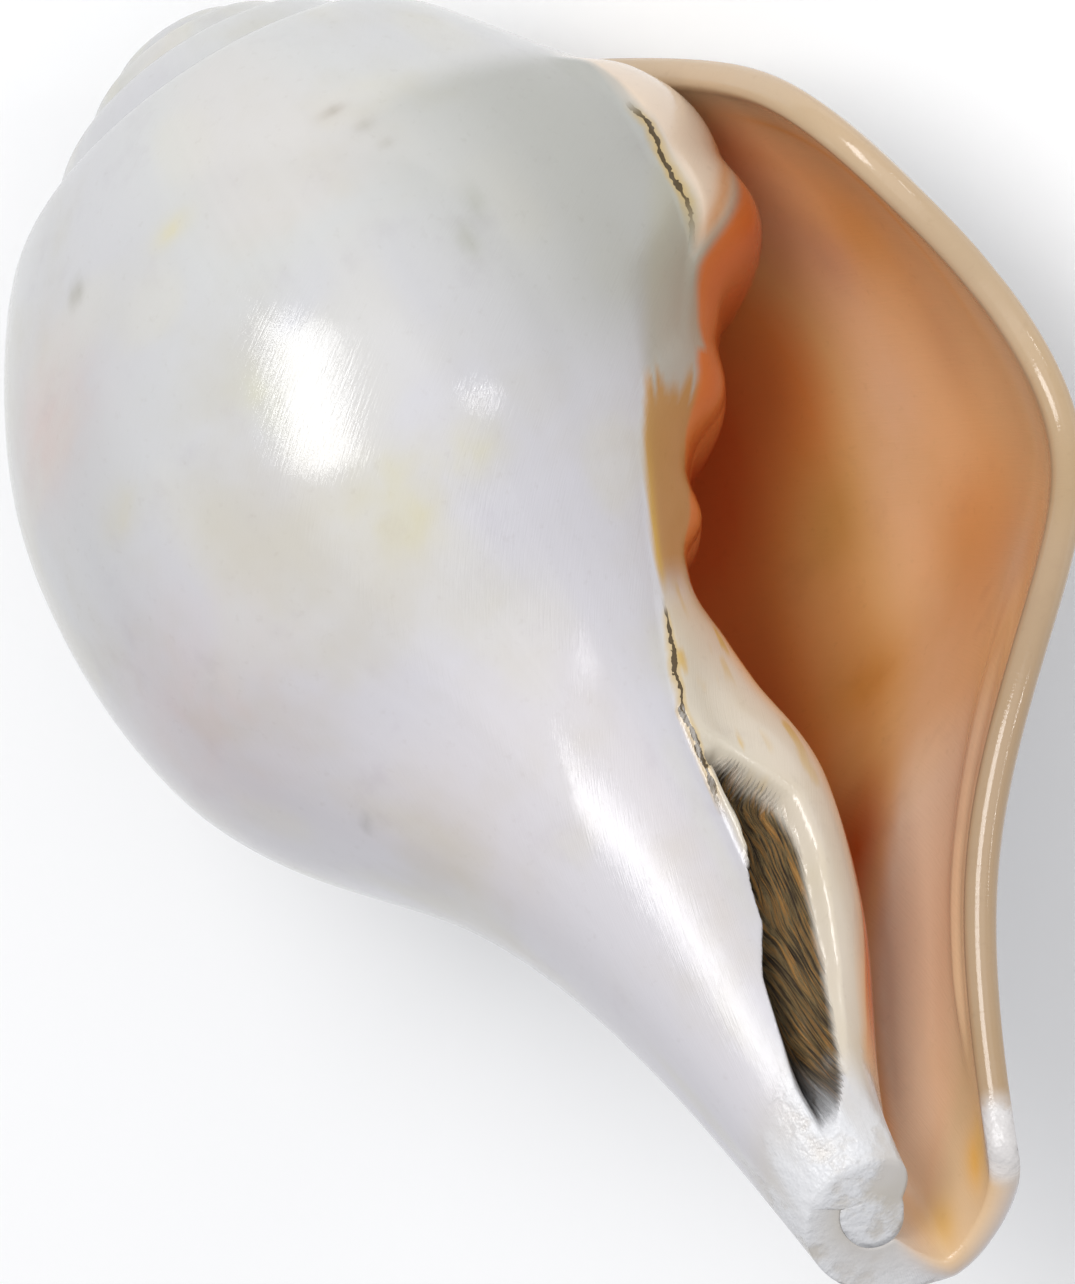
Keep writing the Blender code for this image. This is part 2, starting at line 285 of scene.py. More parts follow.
column_share = np.arange(COLUMNS * TURNS + 1) / COLUMNS
whole_turns = np.floor(column_share)
within_turn = np.interp(column_share - whole_turns, COLUMN_SHARES, COLUMN_TURNS)
turns = FULL_TURN * whole_turns + within_turn
places = np.concatenate([
    np.linspace(0.0, SUTURE_PLACE, SPIRE_ROWS + 1),
    np.linspace(SUTURE_PLACE, WALL_FOOT_PLACE, RIM_ROWS + 1)[1:],
    np.interp(np.arange(1, BODY_ROWS + 1) / BODY_ROWS, ROW_SHARES, ROW_PLACES),
])
SUTURE_ROW = SPIRE_ROWS
FOOT_ROW = SPIRE_ROWS + RIM_ROWS
LAST_ROW = len(places) - 1
LAST_COLUMN = len(turns) - 1
FREE_COLUMN = LAST_COLUMN - COLUMNS
PILLAR_END = COLUMNS + HOLLOW_COLUMNS
OUTER, INNER = 0.0, 1.0

point_blocks = []
growth_blocks = []
face_blocks = []
face_growth_blocks = []


def keep(block, turn, place, layer):
    """Adds points with their turn, place and layer, and returns their numbers."""
    start = sum(len(one) for one in point_blocks)
    flat = block.reshape(-1, 3)
    shape = block.shape[:-1]
    growth = [np.broadcast_to(value, shape).ravel() for value in (turn, place, layer)]
    point_blocks.append(flat)
    growth_blocks.append(np.stack(growth, axis=-1))
    return np.arange(start, start + len(flat)).reshape(shape)


def sheet(numbers, turn, place, flip):
    """Quads between neighbours of a grid of point numbers, with turn and place at each
    corner for the growth map."""
    turn, place = np.broadcast_arrays(turn, place)
    growth = np.stack([turn / FULL_TURN, place], axis=-1)
    corner_slices = ((slice(None, -1), slice(None, -1)), (slice(1, None), slice(None, -1)),
                     (slice(1, None), slice(1, None)), (slice(None, -1), slice(1, None)))
    quads = np.stack([numbers[s] for s in corner_slices], axis=-1).reshape(-1, 4)
    maps = np.stack([growth[s] for s in corner_slices], axis=-2).reshape(-1, 4, 2)
    face_blocks.append(quads[:, ::-1] if flip else quads)
    face_growth_blocks.append(maps[:, ::-1] if flip else maps)


def fan(triangles):
    """Triangles of point numbers. Their corners read turn and place from their points."""
    growth = np.concatenate(growth_blocks)[triangles][..., :2] / (FULL_TURN, 1.0)
    face_blocks.append(triangles)
    face_growth_blocks.append(growth)


turn_grid, place_grid = np.meshgrid(turns, places, indexing="ij")
face = outer_face(turn_grid, place_grid)
first = slice(0, COLUMNS + 1)
above = slice(COLUMNS + 1, None)
pillar = slice(COLUMNS + 1, PILLAR_END + 1)
number = np.full(face.shape[:2], -1)


def keep_part(columns, rows):
    """Keeps a part of the outer face."""
    number[columns, rows] = keep(face[columns, rows], turn_grid[columns, rows],
                                 place_grid[columns, rows], OUTER)


keep_part(first, slice(1, None))
keep_part(above, slice(1, SUTURE_ROW + 1))
keep_part(pillar, slice(FOOT_ROW, None))
keep_part(slice(FREE_COLUMN + 1, None), slice(0, 1))
number[:FREE_COLUMN + 1, 0] = number[COLUMNS:, SUTURE_ROW]

# Inner face: one wall thickness in, thinner where the pillar leaves little room. A low
# ridge follows the lip inside, and the canal's tip is filled in beside the pillar.
LEAST_ROOM = 0.001
RIDGE_HEIGHT = 0.004
RIDGE_TURN = 0.30
RIDGE_WIDTH = 0.05
TIP_FILL = 0.985
TIP_FILL_TURNS = (1.15, 1.75)
near = slice(0, HOLLOW_COLUMNS + 1)
behind = slice(COLUMNS, PILLAR_END + 1)
room = np.linalg.norm(face[near] - face[behind], axis=-1)
thickness = WALL_THICKNESS / SHELL_LENGTH
wall = thickness / np.sqrt(1.0 + (thickness / (0.5 * room + LEAST_ROOM)) ** 2)
ridge = np.exp(-((turn_grid[near] - RIDGE_TURN) / RIDGE_WIDTH) ** 2) * RIDGE_HEIGHT
ridge = ridge * ease(0.62, 0.72, place_grid[near]) * (1.0 - ease(0.88, 0.95, place_grid[near]))
inner = face[near] + inward(turn_grid[near], place_grid[near]) * (wall + ridge)[..., None]
filled = ease(0.93, 0.98, place_grid[near]) * ease(*TIP_FILL_TURNS, turn_grid[near]) * TIP_FILL
inner = inner + filled[..., None] * (face[behind] - inner)
fade = (1.0 - ease(0.0, 0.16, places))[None, :, None]
inner = inner + fade * (face[behind, FOOT_ROW] - inner[:, 0])[:, None, :]
inside = np.full(inner.shape[:2], -1)
inside[:, 1:] = keep(inner[:, 1:], turn_grid[near, 1:], place_grid[near, 1:], INNER)
inside[:, 0] = number[behind, FOOT_ROW]

# Rim of the lip and end of the canal's wall: half rounds between both faces, which turn
# flat where the tip is filled in
EDGE_STEP = 0.01
RIM_BULGE = 0.35
outward = face[0] - outer_face(np.full(len(places), EDGE_STEP), places)
outward = outward / np.linalg.norm(outward, axis=-1, keepdims=True)
half_round = np.linspace(0.0, math.pi, RIM_ROWS + 1)[1:-1]
blend = (0.5 - 0.5 * np.cos(half_round))[None, :, None]
bulge = RIM_BULGE * np.sin(half_round)[None, :, None]


def half_round_strip(outer_edge, inner_edge, way):
    """Points from one edge to the other, bulged by a sine along way."""
    across = inner_edge - outer_edge
    span = np.minimum(np.linalg.norm(across, axis=-1), thickness)[:, None, None]
    return outer_edge[:, None, :] + blend * across[:, None, :] + bulge * span * way


rim = np.full((len(places), RIM_ROWS + 1), -1)
rim[:, 0] = number[0]
rim[:, -1] = inside[0]
rim[0] = number[COLUMNS, SUTURE_ROW:FOOT_ROW + 1]
rim_arc = half_round_strip(face[0], inner[0], outward[:, None, :])
rim[1:, 1:-1] = keep(rim_arc[1:], 0.0, places[1:, None], blend[0, :, 0])
tip = np.full((HOLLOW_COLUMNS + 1, RIM_ROWS + 1), -1)
tip[:, 0] = number[near, LAST_ROW]
tip[:, -1] = inside[:, LAST_ROW]
tip[0] = rim[LAST_ROW]
flush = (1.0 - ease(*TIP_FILL_TURNS, turns[near]))[:, None, None]
tip_way = np.array([0.0, 0.0, -1.0]) * flush
tip_arc = half_round_strip(face[near, LAST_ROW], inner[:, LAST_ROW], tip_way)
tip[1:, 1:-1] = keep(tip_arc[1:], turns[1:HOLLOW_COLUMNS + 1, None], 1.0, blend[0, :, 0])

# The solid end of the pillar, closed towards its middle, and the top of the spire
loop = np.concatenate([number[HOLLOW_COLUMNS:PILLAR_END + 1, LAST_ROW],
                       tip[HOLLOW_COLUMNS][:0:-1]])
loop_points = np.concatenate(point_blocks)[loop]
middle = loop_points.mean(axis=0)
DISH_DEPTH = 0.002
DISH_SHARES = (0.85, 0.6, 0.3)
rings_in = [loop]
for share in DISH_SHARES:
    dish = np.array([0.0, 0.0, -DISH_DEPTH * (1.0 - share)])
    rings_in.append(keep(middle + (loop_points - middle) * share + dish, FULL_TURN, 1.0, OUTER))
centre = keep(middle[None, :] + np.array([0.0, 0.0, -DISH_DEPTH]), FULL_TURN, 1.0, OUTER)[0]
crown = np.concatenate([number[FREE_COLUMN:, 0], number[LAST_COLUMN, 1:SUTURE_ROW]])
crown_top = keep(np.array([[0.0, 0.0, -APEX_DEPTH]]), turns[-1], 0.0, OUTER)[0]

sheet(number[first], turn_grid[first], place_grid[first], True)
sheet(number[COLUMNS:, :SUTURE_ROW + 1], turn_grid[COLUMNS:, :SUTURE_ROW + 1],
      place_grid[COLUMNS:, :SUTURE_ROW + 1], True)
sheet(number[behind, FOOT_ROW:], turn_grid[behind, FOOT_ROW:], place_grid[behind, FOOT_ROW:], True)
sheet(inside, turn_grid[near], place_grid[near], False)
sheet(rim, np.zeros((len(places), 1)), places[:, None] + np.zeros(RIM_ROWS + 1), False)
sheet(tip[::-1], turns[near][::-1, None] + np.zeros(RIM_ROWS + 1), np.ones(1), False)
cap = np.stack(rings_in)
cap = np.concatenate([cap, cap[:, :1]], axis=1)
sheet(cap, np.full(cap.shape, FULL_TURN), np.ones(1), False)
fan(np.stack([cap[-1, :-1], cap[-1, 1:], np.full(len(loop), centre)], axis=-1))
fan(np.stack([crown, np.roll(crown, -1), np.full(len(crown), crown_top)], axis=-1))

# The wall's end deep in the hollow meets the pillar along two rows of unlike length
wall_end = inside[HOLLOW_COLUMNS]
pillar_row = number[PILLAR_END, FOOT_ROW:]
wall_steps = np.arange(1, len(wall_end)) / (len(wall_end) - 1)
pillar_steps = np.arange(1, len(pillar_row)) / (len(pillar_row) - 1)
is_wall = np.argsort(np.concatenate([wall_steps, pillar_steps]), kind="stable") < len(wall_steps)
at_wall = np.cumsum(is_wall)
at_pillar = np.cumsum(~is_wall)
along_wall = np.stack([wall_end[at_wall - 1], wall_end[at_wall], pillar_row[at_pillar]], axis=-1)
along_pillar = np.stack([wall_end[at_wall], pillar_row[at_pillar], pillar_row[at_pillar - 1]],
                        axis=-1)
bridge = np.where(is_wall[:, None], along_wall, along_pillar)
bridge = bridge[(bridge[:, 0] != bridge[:, 1]) & (bridge[:, 1] != bridge[:, 2])
                & (bridge[:, 2] != bridge[:, 0])]
fan(bridge)

# Laid on its back with the mouth up, as it rests, and kept inside the solid's box
BOX_SHARE = 0.9999
RESTING_UP = np.array([-0.6239, -0.6642, -0.4118])
RESTING_SHIFT = np.array([-0.00642651, 0.07325814, 0.0203127])
up = RESTING_UP / np.linalg.norm(RESTING_UP)
back = np.array([0.0, 0.0, 1.0])
back = back - (back @ up) * up
back = back / np.linalg.norm(back)
resting_axes = np.stack([np.cross(back, up), back, up])
points = np.concatenate(point_blocks) * SHELL_LENGTH @ resting_axes.T + RESTING_SHIFT
growth = np.concatenate(growth_blocks)
box_low = np.array(cad_low)
box_high = np.array(cad_high)
size = points.max(axis=0) - points.min(axis=0)
fit = min(1.0, float(((box_high - box_low) / size).min()) * BOX_SHARE)
points = (points - points.min(axis=0)) * fit
points = points + box_low + 0.5 * (box_high - box_low - points.max(axis=0))
points[:, 2] += box_low[2] - points[:, 2].min()

shell_mesh = bpy.data.meshes.new("shell")
face_lists = []
for block in face_blocks:
    face_lists += block.tolist()
shell_mesh.from_pydata(points.tolist(), [], face_lists)
growth_map = shell_mesh.uv_layers.new(name="growth")
corner_growth = np.concatenate([block.reshape(-1, 2) for block in face_growth_blocks])
growth_map.data.foreach_set("uv", corner_growth.astype(np.float32).ravel())
working = bmesh.new()
working.from_mesh(shell_mesh)
bmesh.ops.recalc_face_normals(working, faces=working.faces)
working.to_mesh(shell_mesh)
working.free()
shell_mesh.shade_smooth()


# The colours of the glaze
# The outside is white glaze, faintly stained, and it turns cream on the pad beside the
# mouth. Inside, the lip is peach, the wall behind it orange and the hollow red-brown, its
# darkening partly its own colour and partly painted shade; the chink's floor holds painted
# shadow.
def tint(red, green, blue):
    """Linear colour from screen values of 0 to 255."""
    screen = np.array([red, green, blue]) / 255.0
    return np.where(screen <= 0.04045, screen / 12.92, ((screen + 0.055) / 1.055) ** 2.4)


def lay(under, over, amount):
    """Mixes a colour over another by an amount from 0 to 1."""
    amount = np.clip(amount, 0.0, 1.0)[..., None]
    return under * (1.0 - amount) + over * amount


def ramp(x, stops):
    """Colour read along x between stops of (x, colour), straight from stop to stop."""
    at = [stop[0] for stop in stops]
    shades = np.array([stop[1] for stop in stops])
    return np.stack([np.interp(x, at, shades[:, i]) for i in range(3)], axis=-1)


UPPER_WHITE = tint(203, 204, 199)
LOWER_WHITE = tint(210, 207, 211)
LILAC = tint(197, 196, 202)
CREAM = tint(226, 206, 184)
TAN = tint(214, 160, 112)
PEACH = tint(232, 190, 152)
RIM_CREAM = tint(196, 170, 138)
FOLD_ORANGE = tint(216, 108, 46)
DEEP_ORANGE = tint(190, 84, 38)
# The darkest red behind the pillar, partly its own colour and partly painted shade
DEEP_RED_AND_PAINTED_SHADE = tint(150, 56, 28)
STAIN_TAN = tint(188, 142, 84)
GREY_BEIGE = tint(172, 168, 148)
DULL_GREY = tint(164, 164, 156)
YELLOW = tint(218, 182, 92)

# The free edges of two zones on the pillar's side, and the line of the hairline crack:
# place, then the turn less a full one
ORANGE_EDGE = ((0.20, 0.30), (0.36, 0.05), (0.43, -0.16), (0.446, -0.24), (0.477, -0.33),
               (0.506, -0.41), (0.54, -0.39), (0.56, -0.37), (0.567, -0.46), (0.614, -0.44),
               (0.642, -0.38), (0.652, -0.46), (0.69, -0.46), (0.72, -0.34), (0.76, -0.26),
               (0.82, -0.12), (0.90, 0.00), (0.95, -0.25), (0.985, -0.80), (1.00, -0.90))
GREY_EDGE = ((0.42, -0.50), (0.455, -0.57), (0.485, -0.62), (0.51, -0.67), (0.541, -0.72),
             (0.575, -0.77), (0.616, -0.84), (0.652, -0.86), (0.686, -0.88), (0.71, -0.88))
CRACK = ((0.359, -0.48), (0.389, -0.46), (0.445, -0.46), (0.495, -0.44), (0.70, -0.88),
         (0.725, -0.93), (0.755, -1.00), (0.772, -1.04), (0.786, -1.09), (0.86, -1.09))


def edge_at(edge, place):
    """Turn of an edge or line at each place, less a full one."""
    return np.interp(place, [step[0] for step in edge], [step[1] for step in edge])


turn = growth[:, 0]
place = growth[:, 1]
layer = growth[:, 2]
short = turn - FULL_TURN
slow = grain(turn * 1.7, place * 7.0, 11)
patchy = grain(turn * 4.0, place * 16.0, 12)
banded = grain(turn * 7.0, place * 2.4, 13)
lined = grain(turn * 46.0, place * 3.0, 14)
fine = grain(turn * 24.0, place * 90.0, 15)

outside = lay(np.broadcast_to(UPPER_WHITE, (len(turn), 3)), LOWER_WHITE, ease(0.35, 0.65, place))
outside = lay(outside, LILAC, 0.35 + 0.35 * slow)
outside = lay(outside, tint(208, 205, 192), 0.35 * ease(0.1, 0.7, patchy))
outside = lay(outside, tint(208, 199, 197), 0.35 * ease(0.0, 0.8, -slow))
outside = outside * (1.0 - 0.012 * lined[:, None])

# Soft stains on the body: turn, place, half lengths along both, colour, strength
STAIN_STRENGTH = 0.75
BODY_STAINS = (
    (3.73, 0.295, 0.22, 0.060, tint(206, 184, 178), 0.7),
    (3.50, 0.560, 0.40, 0.070, tint(208, 188, 184), 0.5),
    (4.51, 0.559, 0.16, 0.022, tint(204, 198, 160), 0.6),
    (4.50, 0.590, 0.12, 0.016, tint(204, 196, 150), 0.6),
    (4.79, 0.574, 0.10, 0.020, tint(204, 198, 160), 0.5),
    (4.38, 0.255, 0.06, 0.012, tint(212, 202, 152), 0.6),
    (4.01, 0.229, 0.035, 0.010, tint(150, 146, 132), 0.8),
    (3.84, 0.424, 0.08, 0.018, tint(200, 192, 160), 0.5),
    (4.36, 0.450, 0.05, 0.030, tint(208, 206, 176), 0.5),
    (5.14, 0.405, 0.030, 0.018, tint(164, 164, 148), 0.6),
    (5.06, 0.435, 0.030, 0.018, tint(164, 164, 148), 0.6),
    (4.94, 0.245, 0.040, 0.006, tint(160, 150, 138), 0.7),
    (4.99, 0.277, 0.030, 0.007, tint(164, 156, 144), 0.6),
    (5.01, 0.309, 0.025, 0.006, tint(164, 156, 144), 0.6),
    (3.42, 0.674, 0.030, 0.004, tint(120, 116, 108), 0.8),
)
for stain_turn, stain_place, half_turn, half_place, shade, strength in BODY_STAINS:
    away = ((turn - stain_turn) / half_turn) ** 2 + ((place - stain_place) / half_place) ** 2
    amount = STAIN_STRENGTH * strength * np.exp(-away) * (1.0 + 0.4 * fine)
    outside = lay(outside, shade, amount)

# The pad, the stain and the ledge beside the mouth, then the orange folds behind them
line = edge_at(CRACK, place)
grey_edge = edge_at(GREY_EDGE, place)
orange = edge_at(ORANGE_EDGE, place)
dull = ease(-1.6, -0.70, short) * ease(0.23, 0.28, place) * (1.0 - ease(0.50, 0.62, place))
outside = lay(outside, DULL_GREY, 0.8 * dull)
grey = ease(grey_edge - 0.05, grey_edge + 0.06, short) * ease(0.40, 0.44, place)
outside = lay(outside, GREY_BEIGE, 0.6 * grey * (1.0 - ease(0.62, 0.66, place)))
flame = 0.575 + 0.016 * grain(short * 30.0, np.zeros_like(place), 16)
stain = ease(grey_edge - 0.01, grey_edge + 0.02, short) * ease(flame - 0.004, flame + 0.012, place)
stain = stain * (1.0 - ease(0.685, 0.715, place))
outside = lay(outside, STAIN_TAN, 0.92 * stain)
olive = np.exp(-((short - grey_edge - 0.03) / 0.035) ** 2)
outside = lay(outside, YELLOW, 0.7 * stain * olive * ease(0.575, 0.70, place))
band = ease(line, line + 0.03, short) * (1.0 - ease(orange - 0.06, orange + 0.02, short))
callus = band * ease(0.24, 0.30, place) * (1.0 - ease(0.47, 0.51, place))
outside = lay(outside, CREAM, callus)
outside = lay(outside, TAN, 0.9 * callus * np.exp(-((short - orange + 0.05) / 0.04) ** 2))
ledge = ease(line - 0.005, line + 0.02, short) * ease(0.695, 0.72, place)
ledge_shade = ramp(short - orange, (
    (-0.7, tint(206, 196, 178)),
    (-0.2, tint(218, 204, 186)),
    (0.0, PEACH),
))
outside = lay(outside, ledge_shade, ledge)
ledge_veins = ease(0.35, 0.8, grain(turn * 9.0, place * 40.0, 17) + 0.3 * fine)
ledge_veins = ledge * ledge_veins * (1.0 - ease(0.80, 0.9, place))
outside = lay(outside, tint(208, 172, 96), 0.9 * ledge_veins)
inner_side = ease(orange - 0.02, orange + 0.05, short) * ease(0.24, 0.32, place)
# Partly painted shade: the pillar's side darkens from the orange edge deeper into the mouth,
# partly the lining's own colour
pillar_colour_and_painted_shade = ramp(short - orange, (
    (0.0, tint(220, 126, 66)),
    (0.15, FOLD_ORANGE),
    (0.50, DEEP_ORANGE),
    (0.90, DEEP_RED_AND_PAINTED_SHADE),
))
outside = lay(outside, pillar_colour_and_painted_shade, inner_side * (1.0 - ease(0.93, 0.97, place)))
lip_back = (1.0 - ease(0.10, 0.32, turn)) * ease(0.0, 0.2, place)
outside = lay(outside, RIM_CREAM, lip_back)
chink_left, chink_right = chink_sides(place)
chink_share = (short - chink_left) / np.maximum(chink_right - chink_left, LEAST_CHINK)
chink = ease(-0.02, 0.04, chink_share) * (1.0 - ease(0.90, 0.98, chink_share))
chink = chink * ease(0.822, 0.832, place) * (1.0 - ease(0.975, 0.988, place))

# The wall behind the lip, darker deeper into the hollow, partly its own colour and partly
# painted shade, then the strip of the canal
upper_shift = 0.18 * (1.0 - ease(0.34, 0.52, place)) * ease(0.5, 0.8, turn)
wall_colour_and_painted_shade = ramp(turn + upper_shift + 0.08 * banded * ease(0.1, 0.5, turn), (
    (0.00, RIM_CREAM),
    (0.07, tint(216, 186, 148)),
    (0.16, tint(228, 184, 134)),
    (0.35, tint(236, 182, 126)),
    (0.60, tint(248, 200, 150)),
    (0.85, tint(248, 192, 124)),
    (1.05, tint(244, 156, 84)),
    (1.25, tint(222, 106, 52)),
    (1.60, tint(190, 82, 40)),
    (2.50, tint(150, 56, 30)),
))
STRIP_PLACES = (0.70, 0.75, 0.80, 0.86, 0.93, 1.00)
STRIP_TURNS = (0.80, 0.84, 0.95, 1.10, 1.30, 2.20)
strip = np.interp(place, STRIP_PLACES, STRIP_TURNS)
canal_shade = ramp(turn - strip + 0.02 * banded, (
    (-0.90, tint(216, 184, 146)),
    (-0.60, tint(226, 186, 150)),
    (-0.12, tint(250, 218, 186)),
    (-0.02, tint(244, 184, 130)),
    (0.10, tint(214, 104, 48)),
    (0.50, tint(190, 84, 40)),
))
within = lay(wall_colour_and_painted_shade, canal_shade, ease(0.68, 0.76, place))

# Soft patches on the inner face, told as the body's stains are
PATCHES = (
    (0.42, 0.330, 0.14, 0.060, tint(226, 160, 84), 0.8),
    (0.47, 0.570, 0.20, 0.080, tint(226, 152, 84), 0.7),
    (0.89, 0.626, 0.14, 0.034, tint(232, 160, 78), 0.8),
    (0.88, 0.470, 0.10, 0.050, tint(226, 168, 92), 0.7),
    (0.62, 0.430, 0.10, 0.090, tint(232, 188, 150), 0.6),
    (0.34, 0.445, 0.08, 0.050, tint(214, 164, 120), 0.6),
    (0.30, 0.640, 0.10, 0.040, tint(216, 178, 146), 0.6),
    (0.55, 0.320, 0.07, 0.040, tint(210, 160, 128), 0.6),
    (0.47, 0.976, 0.14, 0.014, tint(232, 176, 84), 0.9),
    (0.30, 0.975, 0.10, 0.016, tint(232, 186, 96), 0.7),
    (1.10, 0.982, 0.20, 0.014, tint(206, 160, 82), 0.7),
)
for patch_turn, patch_place, half_turn, half_place, shade, strength in PATCHES:
    away = ((turn - patch_turn) / half_turn) ** 2 + ((place - patch_place) / half_place) ** 2
    within = lay(within, shade, strength * np.exp(-away) * (0.9 + 0.4 * patchy))
edge_line = np.exp(-((turn - 0.17) / 0.02) ** 2) * ease(0.20, 0.24, place)
within = lay(within, tint(226, 160, 84), 0.6 * edge_line * (1.0 - ease(0.34, 0.5, place)))

# Both faces together, then the chink's floor with its painted shadow, the canal's tip
# and the lip's rim
glaze_and_painted_shade_colour = lay(outside, within, layer)
# Painted shadow: the chink's floor darkens towards its overhung left edge and in the hole at its
# top
chink_painted_shadow = ramp(chink_share, (
    (0.0, tint(60, 54, 46)),
    (0.22, tint(200, 190, 170)),
    (0.5, tint(255, 250, 240)),
))
hole_painted_shadow = (1.0 - ease(0.845, 0.875, place)) * (1.0 - ease(0.3, 0.8, chink_share))
chink_painted_shadow = lay(chink_painted_shadow, tint(50, 44, 38), hole_painted_shadow)
glaze_and_painted_shade_colour = lay(glaze_and_painted_shade_colour, chink_painted_shadow, chink * (1.0 - layer))
tip_end = ease(0.955, 0.985, place) * ease(1.2, 1.8, turn)
glaze_and_painted_shade_colour = lay(glaze_and_painted_shade_colour, tint(200, 195, 190), tip_end)
at_rim = (1.0 - ease(0.02, 0.06, turn)) * ease(0.02, 0.2, place)
rim_shade = ramp(place, ((0.50, RIM_CREAM), (0.72, tint(174, 148, 118))))
glaze_and_painted_shade_colour = lay(glaze_and_painted_shade_colour, rim_shade, at_rim)


def write_attribute(name, kind, values):
    """Stores one value or colour a point."""
    field = shell_mesh.attributes.new(name, kind, "POINT")
    if kind == "FLOAT_COLOR":
        values = np.concatenate([values, np.ones((len(values), 1))], axis=1)
        field.data.foreach_set("color", values.astype(np.float32).ravel())
    else:
        field.data.foreach_set("value", values.astype(np.float32).ravel())


# The stored glaze colour also holds the painted shade of the hollow and the painted shadow in the
# chink
write_attribute("glaze", "FLOAT_COLOR", glaze_and_painted_shade_colour)
write_attribute("chink", "FLOAT", chink * (1.0 - layer))

# The crack is read from how far each point lies from it, drawn along two stretches alone
line_scale = np.interp(place, (0.4, 0.75), (45.0, 25.0))
write_attribute("line_side", "FLOAT", (short - line) * line_scale)
upper_line = ease(0.355, 0.385, place) * (1.0 - ease(0.45, 0.50, place))
lower_line = ease(0.712, 0.722, place) * (1.0 - ease(0.835, 0.86, place))
beside_mouth = (1.0 - layer) * (np.abs(short + 0.8) < 0.6)
write_attribute("line", "FLOAT", (upper_line + lower_line) * beside_mouth)
crust = ease(0.955, 0.990, place + 0.016 * patchy) * ease(1.1, 1.6, turn)
crust = crust + 0.8 * ease(0.974, 0.988, place + 0.012 * patchy) * (1.0 - ease(0.1, 0.3, turn))
crust = crust * (1.0 - 0.9 * layer * ease(0.2, 0.4, turn))
write_attribute("crust", "FLOAT", crust)

# The polished finish
# Polishing leaves a wet gloss with fine strokes in it. The chink keeps its rough, dried
# floor, and a white crust stays round the canal's tip, where the glaze ends.
SHELL_IOR = 1.53
WAVE_HEIGHT = 0.0003
STROKE_HEIGHT = 0.000024
FIBRE_HEIGHT = 0.0012
CRUST_HEIGHT = 0.0003
CRACK_DEPTH = 0.0003
finish = bpy.data.materials.new("polished_shell_glaze")
finish.use_nodes = True
tree = finish.node_tree
tree.nodes.clear()


def node(kind, values=(), **settings):
    """A shader node with its settings, and its inputs filled or linked by name."""
    made = tree.nodes.new(kind)
    for name, value in settings.items():
        setattr(made, name, value)
    for name, value in dict(values).items():
        socket = made.inputs[name]
        if isinstance(value, bpy.types.NodeSocket):
            tree.links.new(value, socket)
        else:
            socket.default_value = value
    return made


def point_value(name):
    """Reads a value stored on the mesh."""
    return node("ShaderNodeAttribute", attribute_name=name).outputs["Fac"]


def noise(vector, scale, detail=3.0, roughness=0.5):
    """Noise from 0 to 1."""
    values = {"Vector": vector, "Scale": scale, "Detail": detail, "Roughness": roughness}
    return node("ShaderNodeTexNoise", values).outputs["Fac"]


def stretch(value, low, high, to_low=0.0, to_high=1.0):
    """Smooth step of a value from one range to another."""
    values = {"Value": value, "From Min": low, "From Max": high,
              "To Min": to_low, "To Max": to_high}
    made = node("ShaderNodeMapRange", values, interpolation_type="SMOOTHSTEP")
    return made.outputs["Result"]


def blend_colour(amount, under, over, way="MIX"):
    """Mixes two colours by an amount, through the colour sockets of a Mix node, which go
    by number."""
    made = node("ShaderNodeMix", data_type="RGBA", blend_type=way)
    for position, value in ((0, amount), (6, under), (7, over)):
        socket = made.inputs[position]
        if isinstance(value, bpy.types.NodeSocket):
            tree.links.new(value, socket)
        else:
            socket.default_value = value
    return made.outputs[2]


def maths(way, one, other=0.0):
    """One step of sums on one or two values."""
    return node("ShaderNodeMath", {0: one, 1: other}, operation=way).outputs[0]


def solid(colour):
    """Colour with full opacity."""
    return (*colour, 1.0)


place_in_space = node("ShaderNodeTexCoord").outputs["Object"]
growth_place = node("ShaderNodeUVMap", uv_map="growth").outputs["UV"]


def mapped(vector, scale, turned=0.0):
    """Scales a pattern along both ways of the growth map, and turns it."""
    values = {"Vector": vector, "Scale": (*scale, 1.0), "Rotation": (0.0, 0.0, turned)}
    return node("ShaderNodeMapping", values).outputs[0]


stroke_place = mapped(mapped(growth_place, (2.1, 1.2), turned=0.6), (30.0, 400.0))
fibre_place = mapped(growth_place, (420.0, 34.0))
colour = node("ShaderNodeAttribute", attribute_name="glaze").outputs["Color"]
clouds = noise(place_in_space, 42.0, 4.0, 0.55)
veins = noise(place_in_space, 130.0, 5.0, 0.6)
specks = noise(place_in_space, 900.0, 2.0, 0.6)
strokes = noise(stroke_place, 1.0, 3.0, 0.6)
fibres = noise(fibre_place, 1.0, 5.0, 0.65)
for amount, shade in (
        (stretch(clouds, 0.48, 0.72, 0.0, 0.5), tint(242, 236, 214)),
        (stretch(veins, 0.55, 0.75, 0.0, 0.35), tint(236, 232, 236)),
        (stretch(specks, 0.60, 0.80, 0.0, 0.12), tint(200, 190, 178))):
    colour = blend_colour(amount, colour, solid(shade), "MULTIPLY")

# The hairline crack: a dark hair on a yellow halo, both wavering with the veins
wobble = maths("MULTIPLY", maths("SUBTRACT", veins, 0.5), 2.2)
line_away = maths("ABSOLUTE", maths("ADD", point_value("line_side"), wobble))
halo = maths("MULTIPLY", stretch(line_away, 1.1, 0.1), point_value("line"))
colour = blend_colour(maths("MULTIPLY", halo, 0.7), colour, solid(tint(196, 164, 92)))
hair_width = stretch(specks, 0.35, 0.65, 0.12, 0.34)
hair_share = maths("LESS_THAN", line_away, hair_width)
crack_line = maths("MULTIPLY", hair_share, point_value("line"))
colour = blend_colour(maths("MULTIPLY", crack_line, 0.9), colour, solid(tint(58, 44, 26)))

